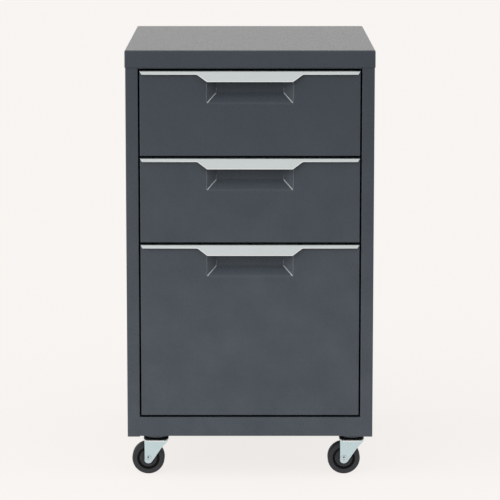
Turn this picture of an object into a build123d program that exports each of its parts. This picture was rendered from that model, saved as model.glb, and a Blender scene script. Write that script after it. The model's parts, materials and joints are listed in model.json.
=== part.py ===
from build123d import *

import math
import os

# A three-drawer filing cabinet on swivel casters, folded from sheet steel.
# The origin is on the floor in the middle of the footprint. X runs to the right of someone who
# faces the drawers, Y runs to the back and Z is up. Lengths are in millimetres, angles in degrees.

# Top cover
cover_width = 400.0
cover_depth = 511.5
cover_skirt = 27.5
cover_sheet = 0.8
cover_fit = 0.2
cover_corner = 2.4

# Case
total_height = 700.0
case_sheet = 1.0
case_bend = 1.6
stile_width = 20.0
stile_return = 16.0
rear_return = 15.0
top_flange = 12.0
opening_drop = 29.4
rail_height = 31.3
rail_return = 14.0
pan_flange = 20.0
panel_drop = 0.9
seam = 0.3

# Uprights that carry the slides
upright_width = 30.0
upright_foot = 9.0
upright_setback = 14.0
slot_height = 12.0
slot_width = 3.0
slot_pitch = 25.0

# Drawer fronts
front_gap = 3.5
side_gap = 2.75
box_front_height = 136.5
front_sheet = 1.0
front_bend = 1.5
front_depth = 20.0
front_lip = 14.0

# Finger recess pressed into each front
recess_start = 8.0
recess_drop = 52.0
recess_back_drop = 35.6
recess_width = 139.0
recess_back_width = 107.2
recess_depth = 16.0
recess_bend = 1.2
recess_back_bend = 9.0
recess_mouth_bend = 7.0

# Pull strip along the top of each front
pull_sheet = 1.8
pull_bend = 2.6
pull_flange = 14.0
pull_fit = 0.3
pull_lean = 25.0
strip_drop = 5.4
strip_bevel = 3.6
tab_drop = 16.6
tab_width = 137.0
tab_flare = 16.0
tab_corner = 2.5
tab_fillet = 6.0

# Trays
tray_sheet = 0.8
tray_bend = 1.6
tray_lift = 12.0
tray_headroom = 24.0
tray_hem = 9.0
tray_end_room = 11.0
tray_back_inset = 9.8
file_rail_sheet = 1.6
file_rail_height = 14.0

# Telescopic slides
slide_inset = 0.5
slide_depth = 12.7
slide_height = 45.0
slide_outer_depth = 11.0
slide_sheet = 1.2
slide_bend = 1.6
slide_lip = 3.0
slide_fit = 0.4
slide_length = 450.0
slide_end_room = 2.0
slide_height_share = 0.45

# Casters
wheel_diameter = 53.0
wheel_width = 21.0
wheel_shoulder = 3.0
hub_diameter = 15.0
hub_length = 25.6
disc_diameter = 28.6
disc_width = 18.0
groove_outer_diameter = 35.6
groove_width = 13.0
axle_diameter = 7.0
axle_fit = 0.05
axle_head_diameter = 11.4
axle_head_height = 1.8
axle_dimple_diameter = 3.6
axle_dimple_depth = 1.6
fork_room = 0.3
fork_sheet = 2.2
fork_bend = 4.0
fork_corner = 6.0
fork_reach = 20.0
fork_knee_reach = 8.0
fork_knee_drop = 15.7
fork_end_radius = 7.7
crown_room = 4.3
trail = 13.1
swivel_gap = 0.3
ring_diameter = 40.0
ring_height = 2.7
dish_drop = 7.0
dish_diameter = 29.0
dish_mouth_diameter = 34.0
plate_sheet = 2.5
plate_size = 56.0
plate_corner = 5.0
bolt_spacing = 42.0
bolt_diameter = 6.0
bolt_room = 0.3
bolt_head_size = 10.0
bolt_head_height = 2.2
bolt_tip = 1.0
nut_height = 5.0
kingpin_diameter = 8.0
kingpin_head_diameter = 14.0
kingpin_head_height = 2.0
caster_left_inset = 45.2
caster_right_inset = 31.9
caster_front_inset = 48.0
caster_rear_inset = 48.0

# How far a cutting tool runs past what it cuts
overrun = 1.0

# Heights worked out from the sizes above
axle_z = wheel_diameter / 2
crown_low = wheel_diameter + crown_room
crown_top = crown_low + fork_sheet
ring_low = crown_top + swivel_gap
dish_low = ring_low + ring_height
plate_low = dish_low + dish_drop
body_low = plate_low + plate_sheet
body_top = total_height - cover_sheet
panel_low = body_low - panel_drop
rail_top = body_low + rail_height
opening_top = total_height - opening_drop
file_front_height = opening_top - rail_top - 2 * box_front_height - 4 * front_gap

# Widths
body_half = cover_width / 2 - cover_sheet - cover_fit
wall_half = body_half - case_sheet
opening_half = body_half - stile_width
rail_half = opening_half - seam
pan_half = wall_half - seam
back_half = body_half - case_bend - seam
front_half = opening_half - side_gap
slide_face = opening_half - slide_inset
tray_half = slide_face - slide_depth

# Depths, with the middle of the whole footprint at zero
lean_sine = math.sin(math.radians(pull_lean))
lean_cosine = math.cos(math.radians(pull_lean))
pull_corner_reach = pull_fit + pull_sheet * (1 - lean_sine) / lean_cosine
pull_reach = pull_corner_reach + tab_drop * lean_sine / lean_cosine
cover_lap = cover_sheet + cover_fit
whole_depth = cover_depth + pull_reach - cover_lap
body_front = pull_reach - whole_depth / 2
cover_front = body_front - cover_lap
cover_back = whole_depth / 2
body_back = cover_back - cover_lap
back_face = body_back - case_sheet
back_inside = back_face - case_sheet
front_back = body_front + front_depth
liner_back = front_back + tray_sheet
slide_front = liner_back + slide_end_room
slide_back = slide_front + slide_length
tray_back = slide_back - tray_end_room
tray_stop = tray_back - tray_back_inset
stile_back = body_front + stile_return + seam

# Drawers from the lowest: name, lower edge and height of the front
file_low = rail_top + front_gap
middle_low = file_low + file_front_height + front_gap
top_low = middle_low + box_front_height + front_gap
drawers = [
    ("file", file_low, file_front_height),
    ("middle", middle_low, box_front_height),
    ("top", top_low, box_front_height),
]
hands = [("left", -1), ("right", 1)]

# Swivel axes of the casters
casters = [
    ("front_left", caster_left_inset - body_half, body_front + caster_front_inset),
    ("front_right", body_half - caster_right_inset, body_front + caster_front_inset),
    ("rear_left", caster_left_inset - body_half, body_back - caster_rear_inset),
    ("rear_right", body_half - caster_right_inset, body_back - caster_rear_inset),
]


def block(x_low, x_high, y_low, y_high, z_low, z_high):
    """A box between two corners."""
    middle = Pos((x_low + x_high) / 2, (y_low + y_high) / 2, (z_low + z_high) / 2)
    return middle * Box(x_high - x_low, y_high - y_low, z_high - z_low)


def along_x(face, start, end):
    """Extrude a face drawn in Y and Z from one X to another."""
    return extrude(Plane.YZ.offset(start) * face, end - start)


def along_y(face, start, end):
    """Extrude a face drawn in X and Z from one Y to another."""
    return extrude(Plane.XZ.offset(-end) * face, end - start)


def along_z(face, start, end):
    """Extrude a face drawn in X and Y from one Z to another."""
    return extrude(Plane.XY.offset(start) * face, end - start)


def folded(points, sheet, bend, side=Side.RIGHT):
    """Section of a sheet folded along the points, with its thickness on the given side of the path."""
    path = FilletPolyline(*points, radius=bend)
    return make_face(offset(path, amount=sheet, side=side).edges())


def outline(points):
    """A flat face with straight edges."""
    return make_face(Polyline(*points, close=True).edges())


def for_hand(shape, hand):
    """The right-hand shape, or its mirror image on the left."""
    return shape if hand > 0 else mirror(shape, about=Plane.YZ)


def top_cover():
    """Pan that closes the top, with a skirt on four sides."""
    middle = Pos(0, (cover_front + cover_back) / 2)
    skirt_low = total_height - cover_skirt
    plan = middle * RectangleRounded(cover_width, cover_depth, cover_corner)
    pan = along_z(plan, skirt_low, total_height)
    pan = fillet(pan.faces().sort_by(Axis.Z)[-1].edges(), cover_corner)
    inner_width = cover_width - 2 * cover_sheet
    inner_depth = cover_depth - 2 * cover_sheet
    hollow = middle * RectangleRounded(inner_width, inner_depth, cover_corner - cover_sheet)
    return pan - along_z(hollow, skirt_low - overrun, total_height - cover_sheet)


def side_panel(hand):
    """One side wall, folded to a stile in front, which butts against the bottom rail, and a return behind."""
    path = [
        (body_half - rear_return, body_back),
        (body_half, body_back),
        (body_half, body_front),
        (opening_half, body_front),
    ]
    inner_edge = (opening_half, body_front + stile_return)
    panel = along_z(folded(path, case_sheet, case_bend), panel_low, rail_top)
    panel += along_z(folded(path + [inner_edge], case_sheet, case_bend), rail_top, body_top)
    flange_low = body_top - case_sheet
    panel += block(wall_half - top_flange, wall_half, stile_back, back_inside, flange_low, body_top)
    return for_hand(panel, hand)


def back_panel():
    """Back wall, held inside the returns of the side panels, with a flange along its top."""
    panel = block(-back_half, back_half, back_inside, back_face, body_low, body_top)
    flange_half = wall_half - top_flange - seam
    flange_low = body_top - case_sheet
    flange_front = back_inside - top_flange
    return panel + block(-flange_half, flange_half, flange_front, back_inside, flange_low, body_top)


def top_rail():
    """Channel between the stiles, behind the skirt of the cover."""
    path = [
        (body_front + rail_return, opening_top),
        (body_front, opening_top),
        (body_front, body_top),
        (body_front + rail_return, body_top),
    ]
    return along_x(folded(path, case_sheet, case_bend), -rail_half, rail_half)


def base_pan():
    """Floor of the case, folded up to the bottom rail in front and to flanges on the other sides."""
    floor_top = body_low + case_sheet
    flange_top = body_low + pan_flange
    path = [
        (body_front + rail_return, rail_top),
        (body_front, rail_top),
        (body_front, body_low),
        (back_inside, body_low),
        (back_inside, flange_top),
    ]
    pan = along_x(folded(path, case_sheet, case_bend, Side.LEFT), -opening_half, opening_half)
    for hand_name, hand in hands:
        wing = block(opening_half, pan_half, stile_back, back_inside, body_low, floor_top)
        wing += block(pan_half - case_sheet, pan_half, stile_back, back_inside, body_low, flange_top)
        pan += for_hand(wing, hand)
    holes = [Pos(x, y) * Circle(bolt_diameter / 2 + bolt_room) for x, y in bolt_places()]
    return pan - along_z(Sketch() + holes, body_low - overrun, floor_top + overrun)


def upright(hand, near):
    """Hat channel on the side wall, with its slotted face towards the drawers."""
    far = near + upright_width
    face = slide_face + case_sheet
    path = [
        (wall_half, near - upright_foot),
        (wall_half, near),
        (face, near),
        (face, far),
        (wall_half, far),
        (wall_half, far + upright_foot),
    ]
    low = body_low + pan_flange
    high = body_top - case_sheet
    channel = along_z(folded(path, case_sheet, case_bend, Side.LEFT), low, high)
    count = int((high - low) / slot_pitch)
    spread = GridLocations(slot_width, slot_pitch, 1, count)
    slots = [place * Rectangle(slot_width, slot_height) for place in spread]
    middle = Pos((near + far) / 2, (low + high) / 2)
    channel -= along_x(middle * (Sketch() + slots), slide_face - overrun, face + overrun)
    return for_hand(channel, hand)


def slide_member(path, side, hand, height):
    """One member of a slide, from its section in depth and height about the slide's middle."""
    points = [(slide_face - depth, height + rise) for depth, rise in path]
    member = along_y(folded(points, slide_sheet, slide_bend, side), slide_front, slide_back)
    return for_hand(member, hand)


def lipped_channel(near, far, half_height):
    """Path of a channel with lips, round its outside."""
    return [
        (far, half_height - slide_lip),
        (far, half_height),
        (near, half_height),
        (near, -half_height),
        (far, -half_height),
        (far, slide_lip - half_height),
    ]


def slide_members(hand, height):
    """Outer, middle and inner member of one telescopic slide, nested in each other."""
    step = slide_sheet + slide_fit
    outer_half = slide_height / 2
    middle_half = outer_half - step
    foot_half = middle_half - step
    neck_half = middle_half - slide_lip - slide_fit
    foot = 2 * step + slide_sheet
    inner_path = [
        (foot, foot_half),
        (foot, neck_half),
        (slide_depth, neck_half),
        (slide_depth, -neck_half),
        (foot, -neck_half),
        (foot, -foot_half),
    ]
    outer = slide_member(lipped_channel(0, slide_outer_depth, outer_half), Side.RIGHT, hand, height)
    middle_path = lipped_channel(step, slide_outer_depth - step, middle_half)
    middle = slide_member(middle_path, Side.RIGHT, hand, height)
    inner = slide_member(inner_path, Side.LEFT, hand, height)
    return {"outer": outer, "middle": middle, "inner": inner}


def recess_solid(top, grow):
    """The space of a finger recess under the given top edge, open to the front, made larger by grow."""
    back = body_front + recess_depth
    mouth = body_front - overrun
    ceiling = top - recess_start
    foot = top - recess_drop - recess_mouth_bend
    floor_line = FilletPolyline(
        (body_front, foot),
        (body_front, top - recess_drop),
        (back, top - recess_back_drop),
        (back, ceiling),
        radius=[recess_mouth_bend, recess_back_bend],
    )
    closing_line = Polyline((back, ceiling), (mouth, ceiling), (mouth, foot), (body_front, foot))
    profile = make_face(floor_line.edges() + closing_line.edges())
    flare = overrun * (recess_width - recess_back_width) / (2 * recess_depth)
    mouth_half = recess_width / 2 + flare
    plan = outline([
        (-mouth_half, mouth),
        (mouth_half, mouth),
        (recess_back_width / 2, back),
        (-recess_back_width / 2, back),
    ])
    if grow:
        profile = offset(profile, amount=grow, kind=Kind.INTERSECTION)
        plan = offset(plan, amount=grow, kind=Kind.INTERSECTION)
    across = along_x(profile, -recess_width, recess_width)
    return across & along_z(plan, top - 2 * recess_drop, top)


def drawer_front(low, height):
    """Folded pan of a drawer front, with the finger recess pressed into it."""
    top = low + height
    pan_top = top - pull_sheet
    pan = block(-front_half, front_half, body_front, front_back, low, pan_top)
    rim = pan.faces().sort_by(Axis.Y)[0].edges()
    pan = fillet(rim, front_bend)
    room = front_half - front_sheet
    pan -= block(-room, room, body_front + front_sheet, front_back - front_sheet,
                 low + front_sheet, pan_top - front_sheet)
    mouth = front_half - front_lip
    pan -= block(-mouth, mouth, body_front + front_sheet, front_back + overrun,
                 low + front_lip, pan_top - front_lip)
    behind_face = block(-front_half, front_half, body_front, front_back, low, pan_top)
    pan += recess_solid(top, front_sheet) & behind_face
    space = recess_solid(top, 0)
    cheeks = space.faces().sort_by(Axis.X)
    ends = space.faces().sort_by(Axis.Y)[0].edges() + space.faces().sort_by(Axis.Z)[-1].edges()
    ends += space.faces().sort_by(Axis.Z)[0].edges()
    creases = [edge for edge in cheeks[0].edges() + cheeks[-1].edges() if edge not in ends]
    return pan - fillet(creases, recess_bend)


def pull(low, height):
    """Bent strip over the top edge of a front, with a wide tab that leans out over the recess."""
    top = low + height
    corner = body_front - pull_corner_reach
    tab_length = tab_drop / lean_cosine
    strip_length = strip_drop / lean_cosine
    path = [
        (body_front + pull_flange, top),
        (corner, top),
        (corner - tab_drop * lean_sine / lean_cosine, top - tab_drop),
    ]
    strip = along_x(folded(path, pull_sheet, pull_bend, Side.LEFT), -front_half, front_half)
    tab_half = tab_width / 2
    root_half = tab_half + tab_flare
    lower_edge = FilletPolyline(
        (-front_half + strip_bevel, -strip_length),
        (-root_half, -strip_length),
        (-tab_half, -tab_length),
        (tab_half, -tab_length),
        (root_half, -strip_length),
        (front_half - strip_bevel, -strip_length),
        radius=[tab_fillet, tab_corner, tab_corner, tab_fillet],
    )
    upper_edge = Polyline(
        (front_half - strip_bevel, -strip_length),
        (front_half, 0),
        (front_half, pull_flange),
        (-front_half, pull_flange),
        (-front_half, 0),
        (-front_half + strip_bevel, -strip_length),
    )
    shape = make_face(lower_edge.edges() + upper_edge.edges())
    leaning = Plane(origin=(0, corner, top), x_dir=(1, 0, 0), z_dir=(0, -lean_cosine, lean_sine))
    return strip & extrude(leaning * shape, pull_flange + pull_reach, both=True)


def tray(low, height):
    """Trough of a drawer: a floor and two sides with folded hems, open at both ends."""
    base = low + tray_lift
    top = low + height - tray_headroom
    path = [
        (tray_hem - tray_half, top),
        (-tray_half, top),
        (-tray_half, base),
        (tray_half, base),
        (tray_half, top),
        (tray_half - tray_hem, top),
    ]
    return along_y(folded(path, tray_sheet, tray_bend, Side.LEFT), liner_back, tray_back)


def tray_end(low, height):
    """Back wall of a drawer, a channel that stands on the floor of the trough under its hems."""
    base = low + tray_lift + tray_sheet
    top = low + height - tray_headroom - tray_sheet - seam
    half = tray_half - tray_bend
    path = [
        (tray_back, top),
        (tray_stop, top),
        (tray_stop, base),
        (tray_back, base),
    ]
    return along_x(folded(path, tray_sheet, tray_bend, Side.LEFT), -half, half)


def liner(low, height):
    """Flat inner front that closes the folded front and the front end of the tray."""
    base = low + tray_lift
    top = low + height - tray_headroom
    return block(-tray_half, tray_half, front_back, liner_back, base, top)


def file_rail(hand, low, height):
    """Angle strip on the hem of the file tray, for the hooks of hanging folders."""
    top = low + height - tray_headroom
    blade = tray_half - tray_hem
    path = [(tray_half, top), (blade, top), (blade, top + file_rail_height)]
    section = folded(path, file_rail_sheet, file_rail_sheet + tray_bend)
    return for_hand(along_y(section, liner_back, tray_stop), hand)


def bolt_places():
    """Centres of the bolts that hold the caster plates."""
    square = GridLocations(bolt_spacing, bolt_spacing, 2, 2)
    return [
        (x + place.position.X, y + place.position.Y)
        for name, x, y in casters
        for place in square
    ]


def caster_plate():
    """Square plate with a dish pressed down in its middle, about a swivel axis at the origin."""
    dish_radius = dish_diameter / 2
    mouth_radius = dish_mouth_diameter / 2
    plan = RectangleRounded(plate_size, plate_size, plate_corner)
    plate = along_z(plan, plate_low, body_low)
    plate += Pos(0, 0, (dish_low + plate_low) / 2) * Cone(dish_radius, mouth_radius, dish_drop)
    hollow = Cone(dish_radius - plate_sheet, mouth_radius - plate_sheet, dish_drop)
    plate -= Pos(0, 0, (dish_low + plate_sheet + body_low) / 2) * hollow
    holes = [place * Circle(bolt_diameter / 2 + bolt_room)
             for place in GridLocations(bolt_spacing, bolt_spacing, 2, 2)]
    plate -= along_z(Sketch() + holes, plate_low - overrun, body_low + overrun)
    return plate - along_z(Circle(kingpin_diameter / 2), dish_low - overrun, body_low + overrun)


def dust_ring():
    """Ring between the dish and the crown of the fork."""
    ring = Circle(ring_diameter / 2) - Circle(kingpin_diameter / 2 + bolt_room)
    return along_z(ring, ring_low, dish_low)


def kingpin():
    """Rivet that the fork turns on, with one head in the dish and one under the crown."""
    head = Circle(kingpin_head_diameter / 2)
    lower_head = crown_low - swivel_gap
    seat = dish_low + plate_sheet
    pin = along_z(Circle(kingpin_diameter / 2), lower_head - kingpin_head_height, seat + kingpin_head_height)
    pin += along_z(head, lower_head - kingpin_head_height, lower_head)
    return pin + along_z(head, seat, seat + kingpin_head_height)


def fork():
    """Pressed fork: a yoke folded over the wheel, with tapered legs that trail to the left."""
    outside = hub_length / 2 + fork_room + fork_sheet
    back = -trail - fork_end_radius
    path = [
        (-outside, 0),
        (-outside, crown_top),
        (outside, crown_top),
        (outside, 0),
    ]
    yoke = along_x(folded(path, fork_sheet, fork_bend), back, fork_reach)
    knee = (fork_knee_reach, crown_top - fork_knee_drop)
    end = Pos(-trail, axle_z) * Circle(fork_end_radius)
    leg = make_hull(end.edges() + [Line((back, crown_top), knee)])
    leg += outline([knee, (fork_reach, crown_low), (fork_reach, crown_top), (back, crown_top)])
    body = yoke & along_y(leg, -outside, outside)
    plan = RectangleRounded(fork_reach - back, 2 * outside, fork_corner)
    body &= along_z(Pos((fork_reach + back) / 2) * plan, 0, crown_top)
    body -= along_z(Circle(kingpin_diameter / 2 + axle_fit), crown_low - overrun, crown_top + overrun)
    bore = Pos(-trail, axle_z) * Circle(axle_diameter / 2)
    return body - along_y(bore, -outside - overrun, outside + overrun)


def wheel():
    """Moulded wheel with rounded shoulders, a grooved face and a hub, about its axle."""
    bore = axle_diameter / 2 + axle_fit
    tread = wheel_diameter / 2
    half = [
        (bore, hub_length / 2),
        (hub_diameter / 2, hub_length / 2),
        (hub_diameter / 2, disc_width / 2),
        (disc_diameter / 2, disc_width / 2),
        (disc_diameter / 2, groove_width / 2),
        (groove_outer_diameter / 2, groove_width / 2),
        (groove_outer_diameter / 2, wheel_width / 2),
        (tread, wheel_width / 2),
    ]
    mirrored = [(radius, -across) for radius, across in reversed(half)]
    section = outline(half + mirrored)
    shoulders = section.vertices().sort_by(Axis.X)[-2:]
    section = fillet(shoulders, wheel_shoulder)
    return Pos(-trail, 0, axle_z) * revolve(section, Axis.Y)


def axle():
    """Rivet through both legs of a fork, with a dimpled head on each side."""
    outside = hub_length / 2 + fork_room + fork_sheet
    end = outside + axle_head_height
    place = Pos(-trail, axle_z)
    pin = along_y(place * Circle(axle_diameter / 2), -end, end)
    head = place * Circle(axle_head_diameter / 2)
    dimple = place * Circle(axle_dimple_diameter / 2)
    for near, far in [(-end, -outside), (outside, end)]:
        pin += along_y(head, near, far)
    pin -= along_y(dimple, -end - overrun, axle_dimple_depth - end)
    return pin - along_y(dimple, end - axle_dimple_depth, end + overrun)


def bolt_and_nut():
    """Hexagon bolt up through a caster plate and the base, and its nut on the floor of the base."""
    corner_radius = bolt_head_size / math.sqrt(3)
    hexagon = RegularPolygon(corner_radius, 6)
    shank = Circle(bolt_diameter / 2)
    floor_top = body_low + case_sheet
    nut_top = floor_top + nut_height
    bolt = along_z(hexagon, plate_low - bolt_head_height, plate_low)
    bolt += along_z(shank, plate_low, nut_top + bolt_tip)
    return [bolt, along_z(hexagon - shank, floor_top, nut_top)]


def case_parts():
    """All pieces of the case, by name."""
    front_near = slide_front + upright_setback
    rear_near = slide_back - upright_setback - upright_width
    parts = {
        "top_cover": top_cover(),
        "back_panel": back_panel(),
        "top_rail": top_rail(),
        "base_pan": base_pan(),
    }
    for hand_name, hand in hands:
        parts[f"{hand_name}_side_panel"] = side_panel(hand)
        parts[f"front_{hand_name}_upright"] = upright(hand, front_near)
        parts[f"rear_{hand_name}_upright"] = upright(hand, rear_near)
    return parts


def drawer_parts():
    """All pieces of the drawers and their slides, by name."""
    parts = {}
    for name, low, height in drawers:
        parts[f"{name}_drawer_front"] = drawer_front(low, height)
        parts[f"{name}_drawer_pull"] = pull(low, height)
        parts[f"{name}_drawer_tray"] = tray(low, height)
        parts[f"{name}_drawer_back"] = tray_end(low, height)
        parts[f"{name}_drawer_liner"] = liner(low, height)
        tray_height = height - tray_lift - tray_headroom
        slide_middle = low + tray_lift + tray_height * slide_height_share
        for hand_name, hand in hands:
            for member, shape in slide_members(hand, slide_middle).items():
                parts[f"{name}_{hand_name}_slide_{member}"] = shape
    rails = [file_rail(hand, file_low, file_front_height) for hand_name, hand in hands]
    parts["file_rails"] = Compound(children=rails)
    return parts


def caster_parts():
    """All pieces of the casters, by name. What repeats without moving by itself is a group."""
    parts = {}
    for name, x, y in casters:
        parts[f"{name}_caster_fork"] = Pos(x, y) * fork()
        parts[f"{name}_caster_wheel"] = Pos(x, y) * wheel()
        parts[f"{name}_caster_axle"] = Pos(x, y) * axle()
    groups = {"caster_plates": caster_plate, "caster_kingpins": kingpin, "caster_dust_rings": dust_ring}
    for name, make in groups.items():
        parts[name] = Compound(children=[Pos(x, y) * make() for label, x, y in casters])
    bolts = [Pos(x, y) * piece for x, y in bolt_places() for piece in bolt_and_nut()]
    parts["caster_bolts"] = Compound(children=bolts)
    return parts


os.makedirs("parts", exist_ok=True)
for node, shape in {**case_parts(), **drawer_parts(), **caster_parts()}.items():
    export_step(shape, f"parts/{node}.step")
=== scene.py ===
"""Dresses a filing cabinet of folded sheet steel on casters: finishes, trim, studio and camera."""
import json
import logging
import math
from collections.abc import Iterable
from dataclasses import dataclass
from enum import Enum
from typing import NamedTuple

import bmesh
import bpy
from mathutils import Matrix, Vector


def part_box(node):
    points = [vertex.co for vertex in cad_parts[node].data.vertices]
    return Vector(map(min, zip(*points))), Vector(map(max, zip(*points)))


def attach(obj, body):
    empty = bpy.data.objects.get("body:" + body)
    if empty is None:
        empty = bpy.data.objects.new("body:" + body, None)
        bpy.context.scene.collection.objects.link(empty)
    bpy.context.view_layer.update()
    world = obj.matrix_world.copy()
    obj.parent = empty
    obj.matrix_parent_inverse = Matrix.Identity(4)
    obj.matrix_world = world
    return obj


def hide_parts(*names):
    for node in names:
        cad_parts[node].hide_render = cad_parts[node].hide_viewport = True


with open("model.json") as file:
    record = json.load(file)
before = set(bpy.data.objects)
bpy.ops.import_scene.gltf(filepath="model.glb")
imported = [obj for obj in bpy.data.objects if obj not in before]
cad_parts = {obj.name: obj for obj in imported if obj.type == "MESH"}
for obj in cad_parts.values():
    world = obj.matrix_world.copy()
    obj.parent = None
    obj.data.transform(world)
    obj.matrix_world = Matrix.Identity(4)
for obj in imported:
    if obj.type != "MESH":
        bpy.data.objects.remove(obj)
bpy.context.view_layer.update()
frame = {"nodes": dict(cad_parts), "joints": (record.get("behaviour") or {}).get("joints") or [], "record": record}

Tree = bpy.types.NodeTree
Node = bpy.types.Node
Socket = bpy.types.NodeSocket
Shape = bmesh.types.BMesh

MM = 0.001
# End of the name of each joint that a caster swivels on
SWIVEL = "_swivel"
# Points nearer than this, in metres, are one point
WELD = 1e-7
# Faces that meet at a larger angle show an edge
SHARP_ANGLE = math.radians(38)
# The higher, the narrower the arms of a cross recess
ARM_POWER = 6
# Sockets of the Mix node when it mixes colours
MIX_FACTOR, MIX_A, MIX_B, MIX_RESULT = 0, 6, 7, 2
# Nearly all of a noise pattern lies between these values
NOISE_LOW, NOISE_HIGH = 0.3, 0.7
# Layers of finer noise in a smooth, a fine and a cloudy pattern
SMOOTH_DETAIL, FINE_DETAIL, CLOUD_DETAIL = 2.0, 3.0, 4.0
# Cosine between the flat and the rounded normal where an edge begins and where it is full
EDGE_START, EDGE_FULL = 0.995, 0.8
EDGE_SAMPLES = 6

log = logging.getLogger("filing_cabinet")


class Tier(Enum):
    """The drawers, from the lowest up."""

    FILE = "file"
    MIDDLE = "middle"
    TOP = "top"


class Hand(Enum):
    """The side of the cabinet, and the direction of X that leads out of it."""

    LEFT = -1
    RIGHT = 1

    @property
    def word(self) -> str:
        """Return the name that the pieces use."""
        return self.name.lower()


class Grain(Enum):
    """How far the marks of making run along X, Y and Z, as multiples of their width."""

    NONE = (1.0, 1.0, 1.0)
    ALONG_X = (90.0, 1.0, 1.0)
    ALONG_Y = (1.0, 90.0, 1.0)


class Ring(NamedTuple):
    """One ring of a turned form, in metres.

    A radius of zero is a point, which closes an end. A waist under 1 draws the ring in between
    four arms, which gives a cross.
    """

    radius: float
    height: float
    waist: float = 1.0


def linear(code: str) -> tuple[float, float, float, float]:
    """Turn an sRGB colour into the linear one that shaders take.

    Args:
        code: Six hex digits after a hash.

    Returns:
        Linear red, green and blue, with full opacity.
    """
    values = [int(code[start:start + 2], 16) / 255 for start in (1, 3, 5)]
    red, green, blue = (v / 12.92 if v <= 0.04045 else ((v + 0.055) / 1.055) ** 2.4
                        for v in values)
    return red, green, blue, 1.0


def per_metre(size_mm: float) -> float:
    """Return the scale of a pattern whose features have this size."""
    return 1 / (size_mm * MM)


def add_node(tree: Tree, kind: str, inputs: dict[str | int, object] | None = None,
             **settings: object) -> Node:
    """Add one node to a tree, with its settings and links.

    Args:
        tree: Tree that takes the node.
        kind: Blender's name of the kind of node.
        inputs: What each input socket takes, which is another node's output or a constant.
        settings: The node's own properties.

    Returns:
        The new node.
    """
    node = tree.nodes.new(kind)
    for name, value in settings.items():
        setattr(node, name, value)
    for socket, value in (inputs or {}).items():
        if isinstance(value, Socket):
            tree.links.new(value, node.inputs[socket])
        else:
            node.inputs[socket].default_value = value
    return node


def shown_rays(tree: Tree) -> Socket:
    """Tell the rays that show a thing to the eye, seen straight, mirrored or through glass.

    Args:
        tree: Tree of the paper or the world.

    Returns:
        A mask that is 1 for those rays and 0 for the rays that only carry light.
    """
    path = add_node(tree, "ShaderNodeLightPath").outputs
    mirrored = add_node(tree, "ShaderNodeMath", {
        0: path["Is Camera Ray"], 1: path["Is Glossy Ray"]}, operation="MAXIMUM")
    mask = add_node(tree, "ShaderNodeMath", {
        0: mirrored.outputs["Value"], 1: path["Is Transmission Ray"]}, operation="MAXIMUM")
    return mask.outputs["Value"]


@dataclass(frozen=True)
class Finish:
    """What a surface is made of and how it was made, with its patterns' sizes in millimetres."""

    name: str
    colour: str
    shade: str

    def material(self) -> bpy.types.Material:
        """Return the finish as a material, made at its first use."""
        made = bpy.data.materials.get(self.name)
        if made is None:
            made = bpy.data.materials.new(self.name)
            made.use_nodes = True
            tree = made.node_tree
            tree.nodes.clear()
            add_node(tree, "ShaderNodeOutputMaterial", {"Surface": self.shader(tree).outputs[0]})
        return made

    def shader(self, tree: Tree) -> Node:
        """Build the finish in a tree and return its shader node."""
        raise NotImplementedError


@dataclass(frozen=True, kw_only=True)
class HardFinish(Finish):
    """A finish of the cabinet itself, uneven in its roughness and a little rounded at its edges."""

    roughness: float
    spread: float
    edge_mm: float

    def soft_normal(self, tree: Tree) -> Socket:
        """Return the normal with the sharp edges rounded."""
        return add_node(tree, "ShaderNodeBevel", {
            "Radius": self.edge_mm * MM}, samples=EDGE_SAMPLES).outputs["Normal"]

    def edges(self, tree: Tree, soft: Socket) -> Socket:
        """Find the edges, where the rounded normal leaves the flat one.

        Args:
            tree: Tree of the material.
            soft: The rounded normal.

        Returns:
            A mask that is 1 on edges and 0 on flats.
        """
        flat = add_node(tree, "ShaderNodeNewGeometry").outputs["Normal"]
        likeness = add_node(tree, "ShaderNodeVectorMath", {
            0: soft, 1: flat}, operation="DOT_PRODUCT")
        mask = add_node(tree, "ShaderNodeMapRange", {
            "Value": likeness.outputs["Value"], "From Min": EDGE_START, "From Max": EDGE_FULL})
        return mask.outputs["Result"]

    def uneven(self, tree: Tree, pattern: Socket) -> Socket:
        """Vary the roughness with a pattern, by the finish's spread about its mean.

        Args:
            tree: Tree of the material.
            pattern: A noise pattern.

        Returns:
            The roughness.
        """
        varied = add_node(tree, "ShaderNodeMapRange", {
            "Value": pattern, "From Min": NOISE_LOW, "From Max": NOISE_HIGH,
            "To Min": self.roughness - self.spread, "To Max": self.roughness + self.spread})
        return varied.outputs["Result"]


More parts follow.
